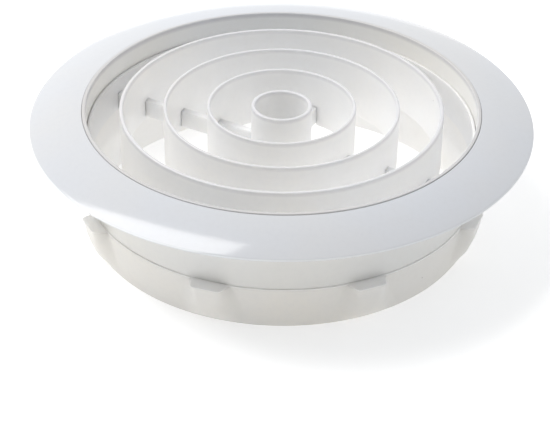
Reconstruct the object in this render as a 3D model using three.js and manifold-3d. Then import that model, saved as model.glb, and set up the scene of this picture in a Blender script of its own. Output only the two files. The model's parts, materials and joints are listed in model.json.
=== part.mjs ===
// Round ceiling air diffuser in moulded white plastic, in millimetres, +Z towards the room.
// The foot of the duct collar lies on z = 0 and the axis of the diffuser is the Z axis.
import * as THREE from "three";
import { mergeVertices } from "three/addons/utils/BufferGeometryUtils.js";
import Module from "manifold-3d";

const wasm = await Module();
wasm.setup();

// Driving dimensions.
const CLEARANCE = 0.3;
const RIM_TOP = 51;
const FLANGE_RADIUS = 100;
const NECK_OUTER = 79;
const NECK_INNER = 77.6;
const SEAM_HEIGHT = 18.5;
const SLEEVE_OUTER = NECK_INNER - CLEARANCE;
const COLLAR_INNER = 76.6;
const CORE_INNER = 76.1;

// Concentric vane rings, from the hub outwards: inner radius, wall and facets round.
const VANE_RINGS = [
  { inner: 10.5, wall: 1.6, facets: 48 },
  { inner: 28.3, wall: 1.3, facets: 64 },
  { inner: 45.6, wall: 1.3, facets: 80 },
  { inner: 62.8, wall: 1.5, facets: 96 },
];
const VANE_FOOT = RIM_TOP - 23.8;

// Crossed bars that carry the rings.
const BAR_WIDTH = 3;
const BAR_TOP = RIM_TOP - 15.4;
const BAR_FOOT = RIM_TOP - 22.8;
const BAR_ANGLES = [45, 135];

// Ramp lugs round the collar. Four stand a little closer together than the others, which
// share the rest of the circle evenly.
const LUG_COUNT = 8;
const CLOSE_LUGS = 4;
const CLOSE_FIRST_ANGLE = 189.8;
const CLOSE_STEP = 43.6;
const WIDE_STEP = (360 - (CLOSE_LUGS - 1) * CLOSE_STEP) / (LUG_COUNT - CLOSE_LUGS + 1);
const LUG_RADIUS = 84.3;
const LUG_WIDTH = 14.4;
const LUG_TIP_WIDTH = 11.9;
const LUG_TOP = 18;

const CORE_TOP = RIM_TOP - 8.6;
const LARGE_FACETS = 96;
const DEGREE = Math.PI / 180;

// A solid of revolution about Z from a closed outline of [radius, height] points,
// listed anticlockwise with the radius to the right.
function turned(outline, facets) {
  const points = [...outline, outline[0]].map(([r, z]) => new THREE.Vector2(r, z));
  return new THREE.LatheGeometry(points, facets).rotateX(Math.PI / 2);
}

// A plain block given by its lowest and highest corners.
function block(low, high) {
  const size = high.map((value, i) => value - low[i]);
  const middle = high.map((value, i) => (value + low[i]) / 2);
  return new THREE.BoxGeometry(...size).translate(...middle);
}

function toSolid(geometry) {
  const bare = geometry.clone();
  bare.deleteAttribute("normal");
  bare.deleteAttribute("uv");
  const merged = mergeVertices(bare);
  return new wasm.Manifold(
    new wasm.Mesh({
      numProp: 3,
      vertProperties: merged.attributes.position.array,
      triVerts: new Uint32Array(merged.index.array),
    }),
  );
}

function toGeometry(solid) {
  const mesh = solid.getMesh();
  const geometry = new THREE.BufferGeometry();
  geometry.setAttribute("position", new THREE.BufferAttribute(mesh.vertProperties, 3));
  geometry.setIndex(new THREE.BufferAttribute(mesh.triVerts, 1));
  geometry.computeVertexNormals();
  return geometry;
}

function cut(geometry, tools) {
  const solid = tools.reduce((rest, tool) => rest.subtract(toSolid(tool)), toSolid(geometry));
  return toGeometry(solid);
}

function plastic(colour, roughness) {
  return new THREE.MeshStandardMaterial({ color: colour, roughness, metalness: 0 });
}

function addPart(group, name, geometry, material) {
  const mesh = new THREE.Mesh(geometry, material);
  mesh.name = name;
  group.add(mesh);
  return mesh;
}

// Trim flange: a domed ring with a thin edge, a boss round the neck and a flat seat for
// the ceiling under its outer edge. Its top falls as a parabola from the bore to the edge.
function flangeGeometry() {
  const bore = NECK_OUTER + CLEARANCE;
  const crest = RIM_TOP + 0.2;
  const seatHeight = 45.2;
  const width = FLANGE_RADIUS - bore;
  const topAt = (share) => crest - 2.9 * share - 2.6 * share * share;
  const outline = [
    [bore, 43],
    [bore + 1.7, 43],
    [bore + 1.7, 49.2],
    [96.4, 45.7],
    [97, seatHeight],
    [FLANGE_RADIUS - 0.2, seatHeight],
    [FLANGE_RADIUS, seatHeight + 0.2],
  ];
  for (const share of [0.985, 0.8, 0.6, 0.4, 0.2]) {
    outline.push([bore + width * share, topAt(share)]);
  }
  outline.push([bore + 0.4, crest], [bore, crest - 0.3]);
  return turned(outline, LARGE_FACETS);
}

// Neck tube: its top edge is the thin lip inside the flange, and a shoulder on its outside
// stops the boss of the flange.
function neckGeometry() {
  const lipTop = RIM_TOP + 0.5;
  const shoulderRadius = NECK_OUTER + 3;
  return turned(
    [
      [NECK_INNER, SEAM_HEIGHT],
      [NECK_OUTER, SEAM_HEIGHT],
      [NECK_OUTER, 39.5],
      [shoulderRadius, 41.2],
      [shoulderRadius, 42.7],
      [NECK_OUTER, 42.7],
      [NECK_OUTER, lipTop - 0.3],
      [NECK_OUTER - 0.3, lipTop],
      [NECK_INNER + 0.3, lipTop],
      [NECK_INNER, lipTop - 0.3],
    ],
    LARGE_FACETS,
  );
}

// Slots, open towards the duct, that let both bars through a ring.
function barSlots(foot) {
  const half = BAR_WIDTH / 2 + CLEARANCE;
  const reach = FLANGE_RADIUS;
  const low = [-reach, -half, foot - 1];
  const high = [reach, half, BAR_TOP + CLEARANCE];
  return BAR_ANGLES.map((angle) => block(low, high).rotateZ(angle * DEGREE));
}

// Outer ring of the core: it drops into the neck and its top is the ledge inside the opening.
function coreRingGeometry() {
  const ring = turned(
    [
      [CORE_INNER, BAR_FOOT],
      [SLEEVE_OUTER, BAR_FOOT],
      [SLEEVE_OUTER, CORE_TOP],
      [CORE_INNER + 0.3, CORE_TOP],
      [CORE_INNER, CORE_TOP - 0.3],
    ],
    LARGE_FACETS,
  );
  return cut(ring, barSlots(BAR_FOOT));
}

function vaneRingGeometry({ inner, wall, facets }) {
  const outer = inner + wall;
  const edge = 0.35;
  const ring = turned(
    [
      [inner, VANE_FOOT],
      [outer, VANE_FOOT],
      [outer, RIM_TOP - edge],
      [outer - edge, RIM_TOP],
      [inner + edge, RIM_TOP],
      [inner, RIM_TOP - edge],
    ],
    facets,
  );
  return cut(ring, barSlots(VANE_FOOT));
}

// One cross bar along X, with a half-lap notch at its middle on its upper or lower side.
function barGeometry(notchOnTop) {
  const reach = SLEEVE_OUTER - CLEARANCE;
  const half = BAR_WIDTH / 2;
  const notch = half + CLEARANCE;
  const middle = (BAR_TOP + BAR_FOOT) / 2;
  const bar = block([-reach, -half, BAR_FOOT], [reach, half, BAR_TOP]);
  const low = notchOnTop ? middle - CLEARANCE / 2 : BAR_FOOT - 1;
  const high = notchOnTop ? BAR_TOP + 1 : middle + CLEARANCE / 2;
  return cut(bar, [block([-notch, -BAR_WIDTH, low], [notch, BAR_WIDTH, high])]);
}

// One ramp lug on the +X side: a flat ledge towards the flange and a bowed ramp down to
// the foot, narrower at its tip than at the collar.
function lugGeometry() {
  const root = COLLAR_INNER + 0.7;
  const ramp = [
    [0.5, 2.8],
    [1.1, 6.5],
    [2, 10],
    [3.4, 13.8],
  ];
  const outline = new THREE.Shape();
  outline.moveTo(root, LUG_TOP);
  outline.lineTo(root, 0.6);
  outline.lineTo(78, 0.6);
  for (const [back, down] of [...ramp].reverse()) {
    outline.lineTo(LUG_RADIUS - back, LUG_TOP - down);
  }
  outline.lineTo(LUG_RADIUS, LUG_TOP - 0.6);
  outline.lineTo(LUG_RADIUS - 0.3, LUG_TOP);
  const lug = new THREE.ExtrudeGeometry(outline, { depth: LUG_WIDTH, bevelEnabled: false });
  lug.translate(0, 0, -LUG_WIDTH / 2).rotateX(Math.PI / 2);
  const narrowing = (1 - LUG_TIP_WIDTH / LUG_WIDTH) / (LUG_RADIUS - NECK_OUTER);
  const position = lug.attributes.position;
  for (let i = 0; i < position.count; i += 1) {
    const share = 1 - narrowing * (position.getX(i) - NECK_OUTER);
    position.setY(i, position.getY(i) * share);
  }
  return lug;
}

// Duct collar: a slightly tapered tube that stands a little proud of the neck, a thinner
// sleeve that slides up inside the neck, and the ramp lugs moulded on it.
function collarGeometry() {
  const top = SEAM_HEIGHT - 0.4;
  const sleeveTop = BAR_FOOT - CLEARANCE;
  const collar = toSolid(
    turned(
      [
        [COLLAR_INNER, 0],
        [77.6, 0],
        [78, 0.4],
        [79.4, top - 0.4],
        [79, top],
        [SLEEVE_OUTER, top],
        [SLEEVE_OUTER, sleeveTop],
        [COLLAR_INNER, sleeveTop],
      ],
      LARGE_FACETS,
    ),
  );
  let whole = collar;
  for (let i = 0; i < LUG_COUNT; i += 1) {
    const closeSteps = Math.min(i, CLOSE_LUGS - 1);
    const angle = CLOSE_FIRST_ANGLE + closeSteps * CLOSE_STEP + (i - closeSteps) * WIDE_STEP;
    whole = whole.add(toSolid(lugGeometry().rotateZ(angle * DEGREE)));
  }
  return toGeometry(whole);
}

const diffuser = new THREE.Group();

addPart(diffuser, "face_flange", flangeGeometry(), plastic(0xe9ebee, 0.22));
addPart(diffuser, "neck_tube", neckGeometry(), plastic(0xe6e4df, 0.38));
addPart(diffuser, "core_outer_ring", coreRingGeometry(), plastic(0xe8e6e1, 0.4));

VANE_RINGS.forEach((size, index) => {
  const name = `vane_ring_${index + 1}`;
  addPart(diffuser, name, vaneRingGeometry(size), plastic(0xeae8e4, 0.38));
});

BAR_ANGLES.forEach((angle, index) => {
  const name = index === 0 ? "cross_bar_lower" : "cross_bar_upper";
  const bar = addPart(diffuser, name, barGeometry(index === 0), plastic(0xe8e7e3, 0.42));
  bar.rotation.z = angle * DEGREE;
});

addPart(diffuser, "duct_collar", collarGeometry(), plastic(0xe4e2dc, 0.42));

export default diffuser;
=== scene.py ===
"""A round ceiling air diffuser in moulded white plastic, lying face up on a white table.

Lengths are in millimetres until a mesh is made, and every piece takes its place and its
main sizes from the frame. The axis of the diffuser is the Z axis.
"""
import json
import math

import bmesh
import bpy
from mathutils import Matrix, Vector


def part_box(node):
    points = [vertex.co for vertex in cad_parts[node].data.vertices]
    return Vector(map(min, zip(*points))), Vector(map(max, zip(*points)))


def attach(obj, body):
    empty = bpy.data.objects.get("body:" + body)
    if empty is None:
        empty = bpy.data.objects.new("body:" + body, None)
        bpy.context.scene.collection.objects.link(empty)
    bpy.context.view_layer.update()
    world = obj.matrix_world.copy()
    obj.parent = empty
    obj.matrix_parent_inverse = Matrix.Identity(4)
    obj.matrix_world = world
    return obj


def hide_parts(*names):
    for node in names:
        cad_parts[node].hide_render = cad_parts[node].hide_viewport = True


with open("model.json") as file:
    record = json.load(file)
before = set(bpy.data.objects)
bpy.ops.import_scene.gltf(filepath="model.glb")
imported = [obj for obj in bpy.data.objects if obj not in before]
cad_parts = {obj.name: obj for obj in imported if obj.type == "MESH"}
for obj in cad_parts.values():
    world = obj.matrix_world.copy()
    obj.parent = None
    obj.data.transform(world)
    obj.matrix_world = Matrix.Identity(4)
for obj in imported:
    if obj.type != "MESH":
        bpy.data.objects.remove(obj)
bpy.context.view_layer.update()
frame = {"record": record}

MM = 0.001
CLEARANCE = 0.3

# Turned pieces: stations round the axis, points on a rounded corner, and the angle
# between faces above which an edge is left sharp.
STATION_COUNT = 360
CORNER_STEPS = 5
SHARP_ANGLE = math.radians(40)
MERGE_DISTANCE = 1e-7
SLOT_STATIONS = 6

# Wall thickness of each piece, which the boxes of the frame don't hold.
VANE_WALLS = {
    "vane_ring_1": 1.6,
    "vane_ring_2": 1.3,
    "vane_ring_3": 1.3,
    "vane_ring_4": 1.5,
}
CORE_WALL = 1.2
NECK_INNER = 77.6
NECK_OUTER = 79.0
# Gaps at the neck's joints with the collar and with the flange. They are drawn narrower
# than the CAD's, because the photo shows them as fine lines.
JOINT_GAP = 0.06
FLANGE_GAP = 0.1
FLANGE_BORE = NECK_OUTER + FLANGE_GAP

# Cross bars, which fill their slots closely.
BAR_GAP = 0.03
BAR_ROUNDING = 0.3
BAR_WIDTH = 3.0
BAR_ANGLES = {"cross_bar_lower": 45.0, "cross_bar_upper": 135.0}

# Ramp lugs round the collar: half widths at the wall and at the tip. Four stand a little
# closer together than the others, which share the rest of the circle evenly.
LUG_COUNT = 8
CLOSE_LUGS = 4
CLOSE_FIRST_ANGLE = 189.8
CLOSE_STEP = 43.6
WIDE_STEP = (360.0 - (CLOSE_LUGS - 1) * CLOSE_STEP) / (LUG_COUNT - CLOSE_LUGS + 1)
LUG_HALF_WIDTH = 7.2
LUG_TIP_HALF_WIDTH = 5.95


def box_mm(node):
    """Outer radius, foot and top of a node that is centred on the axis."""
    low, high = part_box(node)
    return high.x / MM, low.z / MM, high.z / MM


# ---------------------------------------------------------------- camera and light

# The camera looks at a point on the upright plane through the axis that faces it.
CAMERA_AZIMUTH = 252.5
CAMERA_ELEVATION = 30.28
CAMERA_DISTANCE = 720.0
CAMERA_AIM_SIDE = -2.04
CAMERA_AIM_HEIGHT = -3.6
CAMERA_ROLL = 0.78
CAMERA_LENS = 118.6
RIM_TOP = box_mm("vane_ring_4")[2]


def place_camera():
    azimuth = math.radians(CAMERA_AZIMUTH)
    elevation = math.radians(CAMERA_ELEVATION)
    roll = math.radians(CAMERA_ROLL)
    outward = Vector((math.cos(azimuth), math.sin(azimuth), 0.0))
    sideways = Vector((-outward.y, outward.x, 0.0))
    reach = CAMERA_DISTANCE * math.cos(elevation)
    height = RIM_TOP + CAMERA_DISTANCE * math.sin(elevation)
    place = outward * reach + Vector((0.0, 0.0, height))
    aim = sideways * CAMERA_AIM_SIDE + Vector((0.0, 0.0, CAMERA_AIM_HEIGHT))

    forward = (aim - place).normalized()
    level_right = forward.cross(Vector((0.0, 0.0, 1.0))).normalized()
    level_up = level_right.cross(forward)
    right = level_right * math.cos(roll) + level_up * math.sin(roll)
    up = level_up * math.cos(roll) - level_right * math.sin(roll)

    lens = bpy.data.cameras.new("camera")
    lens.sensor_width = 36.0
    lens.lens = CAMERA_LENS
    lens.clip_start = 0.01
    camera = bpy.data.objects.new("camera", lens)
    rows = zip(right, up, -forward, place * MM)
    camera.matrix_world = Matrix((*rows, (0.0, 0.0, 0.0, 1.0)))
    bpy.context.scene.collection.objects.link(camera)
    bpy.context.scene.camera = camera


# The strengths of the light, and the place of the softbox, were worked out from brightness
# and from the flange's highlight in the photo.

# A ceiling softbox behind and to the left of the diffuser, seen from the camera, and
# turned so that its far edge runs away to the left.
SOFTBOX_CENTRE = (-828.0, 268.0, 1250.0)
SOFTBOX_SIZE = (1150.0, 880.0)
SOFTBOX_TURN = -30.0
SOFTBOX_RADIANCE = 5.7

# The room: a white backdrop, a little brighter at the horizon than overhead. The top of
# the backdrop is the sine of its elevation.
AMBIENT_RADIANCE = 0.6
BACKDROP_RADIANCE = 0.64
BACKDROP_TOP = 0.85

# The room grows brighter along this direction and darker against it.
SIDE_LIGHT = (0.0, 0.38, 0.0)
TABLE_GLOW = 0.4


def turned_about_axis(point, angle):
    return Matrix.Rotation(angle, 3, "Z") @ Vector(point)


def place_lights():
    scene = bpy.context.scene
    scene.view_settings.view_transform = "Standard"
    world = bpy.data.worlds.new("room")
    world.use_nodes = True
    tree = world.node_tree
    background = tree.nodes["Background"]
    background.inputs["Color"].default_value = (0.97, 0.985, 1.0, 1.0)
    place = tree.nodes.new("ShaderNodeTexCoord").outputs["Generated"]
    split = tree.nodes.new("ShaderNodeSeparateXYZ")
    tree.links.new(place, split.inputs["Vector"])
    fade = tree.nodes.new("ShaderNodeMapRange")
    fade.interpolation_type = "SMOOTHSTEP"
    fade.inputs["From Max"].default_value = BACKDROP_TOP
    fade.inputs["To Min"].default_value = BACKDROP_RADIANCE
    fade.inputs["To Max"].default_value = AMBIENT_RADIANCE
    tree.links.new(split.outputs["Z"], fade.inputs["Value"])
    turn = math.radians(CAMERA_AZIMUTH - 270.0)
    side = tree.nodes.new("ShaderNodeVectorMath")
    side.operation = "DOT_PRODUCT"
    side.inputs[1].default_value = turned_about_axis(SIDE_LIGHT, turn)
    tree.links.new(place, side.inputs[0])
    radiance = tree.nodes.new("ShaderNodeMath")
    radiance.operation = "ADD"
    tree.links.new(fade.outputs["Result"], radiance.inputs[0])
    tree.links.new(side.outputs["Value"], radiance.inputs[1])
    tree.links.new(radiance.outputs["Value"], background.inputs["Strength"])
    scene.world = world

    width, depth = (size * MM for size in SOFTBOX_SIZE)
    light = bpy.data.lights.new("softbox", "AREA")
    light.shape = "RECTANGLE"
    light.size, light.size_y = width, depth
    light.energy = SOFTBOX_RADIANCE * math.pi * width * depth
    light.color = (1.0, 0.99, 0.975)
    softbox = bpy.data.objects.new("softbox", light)
    softbox.location = turned_about_axis(SOFTBOX_CENTRE, turn) * MM
    softbox.rotation_euler = (0.0, 0.0, turn + math.radians(SOFTBOX_TURN))
    scene.collection.objects.link(softbox)


place_camera()


# ---------------------------------------------------------------- materials


def noise(tree, place, scale, detail):
    node = tree.nodes.new("ShaderNodeTexNoise")
    node.inputs["Scale"].default_value = scale
    node.inputs["Detail"].default_value = detail
    tree.links.new(place, node.inputs["Vector"])
    return node.outputs["Fac"]


def remap(tree, value, low, high, to_low, to_high):
    node = tree.nodes.new("ShaderNodeMapRange")
    tree.links.new(value, node.inputs["Value"])
    limits = {"From Min": low, "From Max": high, "To Min": to_low, "To Max": to_high}
    for name, limit in limits.items():
        node.inputs[name].default_value = limit
    return node.outputs["Result"]


def multiply(tree, first, second):
    node = tree.nodes.new("ShaderNodeMath")
    node.operation = "MULTIPLY"
    tree.links.new(first, node.inputs[0])
    tree.links.new(second, node.inputs[1])
    return node.outputs["Value"]


def blend_colours(tree, share, first, second):
    """A mix of two colours; each is a fixed colour or a socket."""
    node = tree.nodes.new("ShaderNodeMix")
    node.data_type = "RGBA"
    tree.links.new(share, node.inputs["Factor"])
    sockets = [s for s in node.inputs if s.type == "RGBA"]
    for socket, colour in zip(sockets, (first, second)):
        if isinstance(colour, tuple):
            socket.default_value = (*colour, 1.0)
        else:
            tree.links.new(colour, socket)
    return next(s for s in node.outputs if s.type == "RGBA")


def specks(tree, place, spacing, radius, share):
    """1 on sparse round specks and 0 elsewhere; share is the part of the cells with one."""
    cells = tree.nodes.new("ShaderNodeTexVoronoi")
    scale = 1 / (spacing * MM)
    cells.inputs["Scale"].default_value = scale
    tree.links.new(place, cells.inputs["Vector"])
    edge = radius * MM * scale
    spot = remap(tree, cells.outputs["Distance"], edge * 0.5, edge, 1.0, 0.0)
    split = tree.nodes.new("ShaderNodeSeparateColor")
    tree.links.new(cells.outputs["Color"], split.inputs["Color"])
    chosen = remap(tree, split.outputs["Red"], 1 - share, 1 - share * 0.9, 0.0, 1.0)
    return multiply(tree, spot, chosen)


# How deep light goes into the plastic.
GLOW_DEPTH = 6.0

# The tones below stand in for shading that this light doesn't give. They were chosen to
# match brightness in the photo, which shows neither wear nor a second plastic there.

# Rims: painted shade, greyer and cooler than the walls. The painted shade starts below their
# tops.
RIM_PAINTED_SHADE = (0.76, 0.755, 0.785)
RIM_SHADE_START = RIM_TOP - 2.0
RIM_SHADE_FULL = RIM_TOP - 0.4

# Outside of the neck and the collar: painted shade, darker than their insides. The radii lie
# within their walls. The ledges and the top edge of the collar are left without the painted
# shade.
OUTSIDE_PAINTED_SHADE = (0.83, 0.825, 0.81)
OUTSIDE_SHADE_RADII = (77.7, 77.9)
LEDGE_HEIGHTS = (17.5, 17.8)

# Thin edge of the flange: a painted highlight, lighter than its face.
EDGE_PAINTED_HIGHLIGHT = (1.3, 1.3, 1.27)
EDGE_HIGHLIGHT_RADII = (99.5, 99.8)


def tinted(colour, tone):
    return tuple(value * share for value, share in zip(colour, tone))


def past(tree, value, limits, below=0.0, above=1.0):
    """Goes from one number to the other as a length passes the limits, in millimetres."""
    return remap(tree, value, limits[0] * MM, limits[1] * MM, below, above)


def toned(tree, share, base, tone):
    """The base colour, multiplied by a tone as far as the share goes."""
    node = tree.nodes.new("ShaderNodeMix")
    node.data_type = "RGBA"
    node.blend_type = "MULTIPLY"
    tree.links.new(share, node.inputs["Factor"])
    first, second = (s for s in node.inputs if s.type == "RGBA")
    tree.links.new(base, first)
    second.default_value = (*tone, 1.0)
    return next(s for s in node.outputs if s.type == "RGBA")


# Scales of the patterns in the plastic, from the broadest to the finest, and its dust.
DRIFT_SCALE = 16.0
SMEAR_SCALE = 55.0
MOTTLE_SCALE = 480.0
SKIN_SCALE = 1500.0
DUST_SPACING = 9.0
DUST_RADIUS = 0.28
DUST_SHARE = 0.07
DUST_COLOUR = (0.22, 0.2, 0.17)


def moulded_plastic(name, colour, roughness, grain, glow, *tones):
    """White plastic: slow drift between a warm and a cool white, fine mottling, sparse dust,
    uneven gloss and a skin of shallow grain that is grain millimetres deep."""
    material = bpy.data.materials.new(name)
    material.use_nodes = True
    tree = material.node_tree
    shader = tree.nodes["Principled BSDF"]
    shader.inputs["IOR"].default_value = 1.5
    shader.inputs["Subsurface Weight"].default_value = glow
    shader.inputs["Subsurface Radius"].default_value = (1.0, 0.96, 0.88)
    shader.inputs["Subsurface Scale"].default_value = GLOW_DEPTH * MM
    place = tree.nodes.new("ShaderNodeTexCoord").outputs["Object"]

    warm = tinted(colour, (1.01, 1.0, 0.975))
    cool = tinted(colour, (0.985, 0.997, 1.01))
    dusty = tinted(colour, (0.955, 0.955, 0.955))
    drift = remap(tree, noise(tree, place, DRIFT_SCALE, 3.0), 0.35, 0.65, 0.0, 1.0)
    base = blend_colours(tree, drift, warm, cool)
    mottle = remap(tree, noise(tree, place, MOTTLE_SCALE, 5.0), 0.45, 0.8, 0.0, 0.5)
    base = blend_colours(tree, mottle, base, dusty)
    dust = specks(tree, place, DUST_SPACING, DUST_RADIUS, DUST_SHARE)
    base = blend_colours(tree, dust, base, DUST_COLOUR)
    split = tree.nodes.new("ShaderNodeSeparateXYZ")
    tree.links.new(place, split.inputs["Vector"])
    level = tree.nodes.new("ShaderNodeCombineXYZ")
    tree.links.new(split.outputs["X"], level.inputs["X"])
    tree.links.new(split.outputs["Y"], level.inputs["Y"])
    length = tree.nodes.new("ShaderNodeVectorMath")
    length.operation = "LENGTH"
    tree.links.new(level.outputs["Vector"], length.inputs[0])
    radius, height = length.outputs["Value"], split.outputs["Z"]
    # Painted shade on the rims and on the outsides of the neck and collar, and a painted
    # highlight on the flange's thin edge.
    if "rim" in tones:
        share = past(tree, height, (RIM_SHADE_START, RIM_SHADE_FULL))
        base = toned(tree, share, base, RIM_PAINTED_SHADE)
    if "outside" in tones:
        share = past(tree, radius, OUTSIDE_SHADE_RADII)
        if "ledge" in tones:
            share = multiply(tree, share, past(tree, height, LEDGE_HEIGHTS, 1.0, 0.0))
        base = toned(tree, share, base, OUTSIDE_PAINTED_SHADE)
    if "edge" in tones:
        base = toned(tree, past(tree, radius, EDGE_HIGHLIGHT_RADII), base, EDGE_PAINTED_HIGHLIGHT)
    tree.links.new(base, shader.inputs["Base Color"])

    smear = noise(tree, place, SMEAR_SCALE, 4.0)
    gloss = remap(tree, smear, 0.3, 0.7, roughness * 0.82, roughness * 1.2)
    tree.links.new(gloss, shader.inputs["Roughness"])

    skin = noise(tree, place, SKIN_SCALE, 2.0)
    bump = tree.nodes.new("ShaderNodeBump")
    bump.inputs["Strength"].default_value = 0.35
    bump.inputs["Distance"].default_value = grain * MM
    tree.links.new(skin, bump.inputs["Height"])
    tree.links.new(bump.outputs["Normal"], shader.inputs["Normal"])
    return material


# Base colour, roughness, depth of grain, glow and tones of each slot. The base colours differ
# between slots only to match brightness under this light: these differences are painted light
# and shade, and the flange's darker colour is painted shade.
FINISHES = {
    "flange_plastic": ((0.65, 0.66, 0.69), 0.1, 0.012, 0.0, "edge"),
    "neck_plastic": ((0.95, 0.945, 0.93), 0.36, 0.05, 0.1, "rim", "outside"),
    "vane_plastic": ((0.905, 0.9, 0.9), 0.36, 0.05, 0.55, "rim"),
    "bar_plastic": ((0.9, 0.905, 0.915), 0.4, 0.06, 0.8),
    "collar_plastic": ((0.94, 0.925, 0.905), 0.42, 0.07, 0.2, "outside", "ledge"),
}
SLOT_MATERIALS = {slot: moulded_plastic(slot, *finish) for slot, finish in FINISHES.items()}
place_lights()
NODE_SLOTS = {s["node"]: s["material_slot"] for s in frame["record"]["subparts"]}


# ---------------------------------------------------------------- mesh building


def rounded(corners, steps=CORNER_STEPS):
    """A closed outline from [radius, height, rounding] corners, each corner eased by a
    short curve that starts its rounding before the corner and ends as far after it."""
    points = []
    for index, (r, z, ease) in enumerate(corners):
        corner = Vector((r, z))
        if ease == 0:
            points.append(corner)
            continue
        before = Vector(corners[index - 1][:2])
        after = Vector(corners[(index + 1) % len(corners)][:2])
        back, ahead = before - corner, after - corner
        start = corner + back.normalized() * min(ease, back.length * 0.45)
        end = corner + ahead.normalized() * min(ease, ahead.length * 0.45)
        for step in range(steps + 1):
            share = step / steps
            near = start.lerp(corner, share)
            points.append(near.lerp(corner.lerp(end, share), share))
    return [(point.x, point.y) for point in points]


def finish_piece(node, bm):
    """Makes a smooth-shaded object from a bmesh and lets it stand for its CAD node."""
    bmesh.ops.remove_doubles(bm, verts=bm.verts, dist=MERGE_DISTANCE)
    bmesh.ops.recalc_face_normals(bm, faces=bm.faces)
    for face in bm.faces:
        face.smooth = True
    for edge in bm.edges:
        if len(edge.link_faces) == 2 and edge.calc_face_angle() > SHARP_ANGLE:
            edge.smooth = False
    mesh = bpy.data.meshes.new(node + "_surface")
    bm.to_mesh(mesh)
    bm.free()
    piece = bpy.data.objects.new(node + "_surface", mesh)
    bpy.context.scene.collection.objects.link(piece)
    slot = NODE_SLOTS[node]
    mesh.materials.append(SLOT_MATERIALS[slot])
    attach(piece, "root")
    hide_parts(node)
    return piece


def weigh_normals(piece):
    """Keeps large faces flat in shading where they meet small rounded edges."""
    modifier = piece.modifiers.new("normals", "WEIGHTED_NORMAL")
    modifier.keep_sharp = True


def swept(node, stations):
    """A closed ring through (angle in degrees, outline) stations, all of one length."""
    bm = bmesh.new()
    loops = []
    for angle, outline in stations:
        turn = math.radians(angle)
        along, across = math.cos(turn) * MM, math.sin(turn) * MM
        loops.append([bm.verts.new((r * along, r * across, z * MM)) for r, z in outline])
    for index, loop in enumerate(loops):
        following = loops[(index + 1) % len(loops)]
        for j in range(len(loop)):
            k = (j + 1) % len(loop)
            bm.faces.new((loop[j], following[j], following[k], loop[k]))
    piece = finish_piece(node, bm)
    weigh_normals(piece)
    return piece


def turned(node, outline):
    step = 360.0 / STATION_COUNT
    return swept(node, [(i * step, outline) for i in range(STATION_COUNT)])


def slotted(node, outline, slot_outline, slot_half_width):
    """A turned ring with a slot, open at the foot, on both sides of each cross bar."""
    mean_radius = sum(r for r, _ in outline) / len(outline)
    half = math.degrees(math.asin(slot_half_width / mean_radius))
    centres = [angle + turn for angle in BAR_ANGLES.values() for turn in (0.0, 180.0)]
    step = 360.0 / STATION_COUNT
    stations = []
    for i in range(STATION_COUNT):
        angle = i * step
        if all(abs((angle - c + 180) % 360 - 180) > half + 0.05 for c in centres):
            stations.append((angle, outline))
    for centre in centres:
        start, end = centre - half, centre + half
        stations.append((start, outline))
        steps = range(SLOT_STATIONS + 1)
        inside = [start + (end - start) * k / SLOT_STATIONS for k in steps]
        stations += [(angle, slot_outline) for angle in inside]
        stations.append((end, outline))
    # Python's sort is stable, so a slot edge keeps its outer outline before its inner one
    # on the way in, and the other way round on the way out.
    stations.sort(key=lambda station: round(station[0] % 360, 6))
    return swept(node, stations)


# ---------------------------------------------------------------- pieces


# Flange: the seat's height over the foot of the boss, the boss's wall and height over the
# seat, where the underside meets the seat, and how the dome falls from bore to edge.
SEAT_RISE = 2.2
BOSS_WALL = 1.7
BOSS_RISE = 4.0
SEAT_START = 97.0
UNDERSIDE_END = (96.4, 0.5)
DOME_FALL = 2.9
DOME_CURVE = 2.6
DOME_END = 0.985
DOME_POINTS = 30


def make_flange():
    radius, foot, crest = box_mm("face_flange")
    seat = foot + SEAT_RISE
    width = radius - FLANGE_BORE
    boss = FLANGE_BORE + BOSS_WALL

    def dome(share):
        height = crest - DOME_FALL * share - DOME_CURVE * share * share
        return (FLANGE_BORE + width * share, height, 0)

    under = [
        (FLANGE_BORE, foot, 0.25),
        (boss, foot, 0.25),
        (boss, seat + BOSS_RISE, 0.8),
        (UNDERSIDE_END[0], seat + UNDERSIDE_END[1], 0.3),
        (SEAT_START, seat, 0.15),
        (radius - 0.2, seat, 0.12),
        (radius, seat + 0.2, 0.1),
    ]
    shares = [DOME_END - DOME_END * i / DOME_POINTS for i in range(DOME_POINTS)]
    top = [dome(share) for share in shares]
    turned("face_flange", rounded([*under, *top, (FLANGE_BORE, crest, 0.35)]))


# Shoulder of the neck, over its foot: where it starts, where it is full, and its top.
SHOULDER_START = 21.0
SHOULDER_FULL = 22.7
SHOULDER_TOP = 24.2


def make_neck():
    shoulder, foot, lip = box_mm("neck_tube")
    joint = SEAM + JOINT_GAP
    corners = [
        (NECK_INNER, joint, 0.1),
        (NECK_OUTER, joint, 0.15),
        (NECK_OUTER, foot + SHOULDER_START, 0.5),
        (shoulder, foot + SHOULDER_FULL, 0.4),
        (shoulder, foot + SHOULDER_TOP, 0.3),
        (NECK_OUTER, foot + SHOULDER_TOP, 0.2),
        (NECK_OUTER, lip, 0.35),
        (NECK_INNER, lip, 0.45),
    ]
    turned("neck_tube", rounded(corners))


FOOT_ROUNDING = 0.2
CORE_ROUNDING = 0.3
RIM_ROUNDING = 0.62


def ring_outline(inner, outer, foot, top, ease, slot_foot):
    """Section of a ring. Both walls have a point where a slot's rounding ends on them, so
    that the section of a slot shares it."""
    corners = [
        (inner, foot, FOOT_ROUNDING),
        (outer, foot, FOOT_ROUNDING),
        (outer, top, ease),
        (inner, top, ease),
    ]
    points = rounded(corners)
    height = slot_foot + FOOT_ROUNDING
    foot_points = 2 * (CORNER_STEPS + 1)
    return [*points[:foot_points], (outer, height), *points[foot_points:], (inner, height)]


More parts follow.
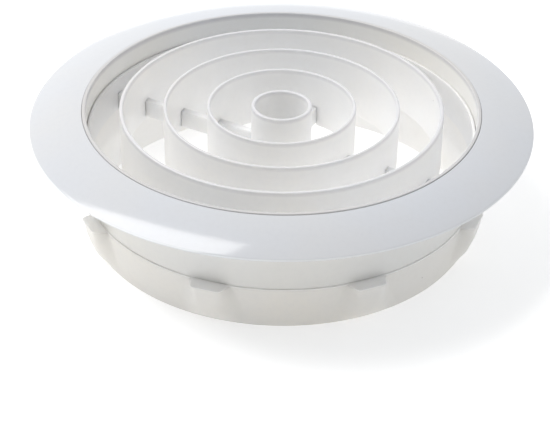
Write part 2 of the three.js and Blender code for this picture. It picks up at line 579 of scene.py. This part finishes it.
def make_slotted_ring(node, wall, ease):
    outer, foot, top = box_mm(node)
    bar_top = box_mm("cross_bar_upper")[2]
    inner = outer - wall
    slot_foot = bar_top + BAR_GAP
    slotted(
        node,
        ring_outline(inner, outer, foot, top, ease, slot_foot),
        ring_outline(inner, outer, slot_foot, top, ease, slot_foot),
        BAR_WIDTH / 2 + BAR_GAP,
    )


def make_bar(node, notch_on_top):
    _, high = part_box("core_outer_ring")
    _, foot, top = box_mm(node)
    reach = high.x / MM - CLEARANCE
    notch = BAR_WIDTH / 2 + CLEARANCE
    middle = (foot + top) / 2
    level = middle - CLEARANCE / 2 if notch_on_top else middle + CLEARANCE / 2
    cut_edge = [(notch, level), (-notch, level)]
    if notch_on_top:
        side = [(-reach, foot), (reach, foot), (reach, top), (notch, top)]
        side += [*cut_edge, (-notch, top), (-reach, top)]
    else:
        side = [(-reach, foot), (-notch, foot), (-notch, level), (notch, level)]
        side += [(notch, foot), (reach, foot), (reach, top), (-reach, top)]

    turn = math.radians(BAR_ANGLES[node])
    bm = bmesh.new()
    faces = []
    for across in (-BAR_WIDTH / 2, BAR_WIDTH / 2):
        ring = []
        for along, height in side:
            x = along * math.cos(turn) - across * math.sin(turn)
            y = along * math.sin(turn) + across * math.cos(turn)
            ring.append(bm.verts.new((x * MM, y * MM, height * MM)))
        faces.append(ring)
    near, far = faces
    bm.faces.new(near)
    bm.faces.new(list(reversed(far)))
    for j in range(len(near)):
        k = (j + 1) % len(near)
        bm.faces.new((near[j], far[j], far[k], near[k]))
    bmesh.ops.recalc_face_normals(bm, faces=bm.faces)
    bmesh.ops.bevel(
        bm,
        geom=list(bm.edges),
        offset=BAR_ROUNDING * MM,
        segments=4,
        profile=0.5,
        affect="EDGES",
    )
    weigh_normals(finish_piece(node, bm))


# Ramp of a lug, from the foot up: [radius, height]; the tip is rounded and its top flat.
LUG_RAMP = [(78.0, 0.6), (80.9, 4.2), (82.3, 8.0), (83.2, 11.5), (83.8, 15.2)]
LUG_RADIUS = 84.3
LUG_TOP = 18.0
SEAM = 18.1

# How far a flank spreads and softens from the ledge down to the foot, in degrees; half the
# stations on each side of a lug's middle; and the angle from there to the plain wall.
FLANK_SPREAD = 6.0
FLANK_STEPS = 16
LUG_REACH = 12.5

# Collar: inner face, sleeve, and the wall's radius near its foot and at its top.
COLLAR_INNER = 76.6
SLEEVE_OUTER = 77.3
WALL_FOOT = 78.0
WALL_TOP = 79.4


def smooth(share):
    share = min(max(share, 0.0), 1.0)
    return share * share * (3 - 2 * share)


def lug_share(offset, height):
    """0 on the wall and 1 on a lug, at an angle from the lug's middle and a height."""
    root = math.degrees(math.asin(LUG_HALF_WIDTH / NECK_OUTER))
    tip = math.degrees(math.asin(LUG_TIP_HALF_WIDTH / LUG_RADIUS))
    depth = 1 - height / LUG_TOP
    root += FLANK_SPREAD * depth ** 0.6
    tip -= FLANK_SPREAD * 0.6 * depth ** 0.6
    share = (root - abs(offset)) / (root - tip)
    softness = min(1.0, depth * 4)
    plain = min(max(share, 0.0), 1.0)
    return plain + (smooth(share) - plain) * softness


def collar_outline(offset):
    """Section of the collar at an angle from the middle of the nearest lug."""
    inner, sleeve = COLLAR_INNER, SLEEVE_OUTER
    _, foot, sleeve_top = box_mm("duct_collar")
    flat_face = 1 / math.cos(math.radians(min(abs(offset), 6.0)))

    def wall(height):
        return WALL_FOOT + (WALL_TOP - WALL_FOOT) * (height - 0.4) / (SEAM - 0.8)

    def between(lug_point, wall_point):
        share = lug_share(offset, lug_point[1])
        lug_r, lug_z = lug_point[0] * flat_face, lug_point[1]
        wall_r, wall_z = wall_point
        return (wall_r + (lug_r - wall_r) * share, wall_z + (lug_z - wall_z) * share)

    outline = [(inner, foot + 0.2), (inner + 0.2, foot), (77.5, foot), (77.8, 0.12), (78.0, 0.4)]
    for (low_r, low_z), (high_r, high_z) in zip(LUG_RAMP, LUG_RAMP[1:]):
        for part in (0.0, 0.5):
            r = low_r + (high_r - low_r) * part
            z = low_z + (high_z - low_z) * part
            outline.append(between((r, z), (wall(z), z)))
    outline += [
        between(LUG_RAMP[4], (wall(15.2), 15.2)),
        between((LUG_RADIUS, LUG_TOP - 0.6), (wall(17.2), 17.2)),
        between((LUG_RADIUS - 0.04, LUG_TOP - 0.28), (wall(17.45), 17.45)),
        between((LUG_RADIUS - 0.14, LUG_TOP - 0.1), (wall(17.6), 17.6)),
        between((LUG_RADIUS - 0.34, LUG_TOP), (79.38, 17.75)),
        between((79.6, LUG_TOP), (79.32, 17.88)),
        between((79.3, LUG_TOP), (79.2, 17.99)),
        (79.0, SEAM),
        (sleeve + 0.15, SEAM),
        (sleeve, SEAM + 0.15),
        (sleeve, sleeve_top - 0.2),
        (sleeve - 0.2, sleeve_top),
        (inner + 0.2, sleeve_top),
        (inner, sleeve_top - 0.2),
    ]
    return outline


def lug_angles():
    angles = []
    for index in range(LUG_COUNT):
        close = min(index, CLOSE_LUGS - 1)
        angles.append(CLOSE_FIRST_ANGLE + close * CLOSE_STEP + (index - close) * WIDE_STEP)
    return angles


def make_collar():
    centres = lug_angles()
    reach = LUG_REACH
    fine = [reach * k / (2 * FLANK_STEPS) for k in range(-2 * FLANK_STEPS, 2 * FLANK_STEPS + 1)]
    stations = []
    for index, centre in enumerate(centres):
        stations += [(centre + offset, collar_outline(offset)) for offset in fine]
        following = centres[index + 1] if index + 1 < LUG_COUNT else centres[0] + 360.0
        gap = following - centre - 2 * reach
        count = round(gap)
        plain = [centre + reach + gap * k / count for k in range(1, count)]
        stations += [(angle, collar_outline(reach)) for angle in plain]
    swept("duct_collar", stations)


make_flange()
make_neck()
make_slotted_ring("core_outer_ring", CORE_WALL, CORE_ROUNDING)
for ring, thickness in VANE_WALLS.items():
    make_slotted_ring(ring, thickness, RIM_ROUNDING)
make_bar("cross_bar_lower", True)
make_bar("cross_bar_upper", False)
make_collar()


# ---------------------------------------------------------------- table top


# The table top gives off some light of its own (TABLE_GLOW), to read as white.
TABLE_HALF_SIZE = 2500.0
TABLE_COLOUR = (0.9, 0.9, 0.9, 1.0)


def make_table():
    bm = bmesh.new()
    bmesh.ops.create_grid(bm, x_segments=8, y_segments=8, size=TABLE_HALF_SIZE * MM)
    mesh = bpy.data.meshes.new("table_top")
    bm.to_mesh(mesh)
    bm.free()
    table = bpy.data.objects.new("table_top", mesh)
    bpy.context.scene.collection.objects.link(table)
    material = bpy.data.materials.new("table_white")
    material.use_nodes = True
    shader = material.node_tree.nodes["Principled BSDF"]
    shader.inputs["Base Color"].default_value = TABLE_COLOUR
    shader.inputs["Roughness"].default_value = 0.8
    shader.inputs["Emission Color"].default_value = (1.0, 1.0, 1.0, 1.0)
    shader.inputs["Emission Strength"].default_value = TABLE_GLOW
    mesh.materials.append(material)


make_table()
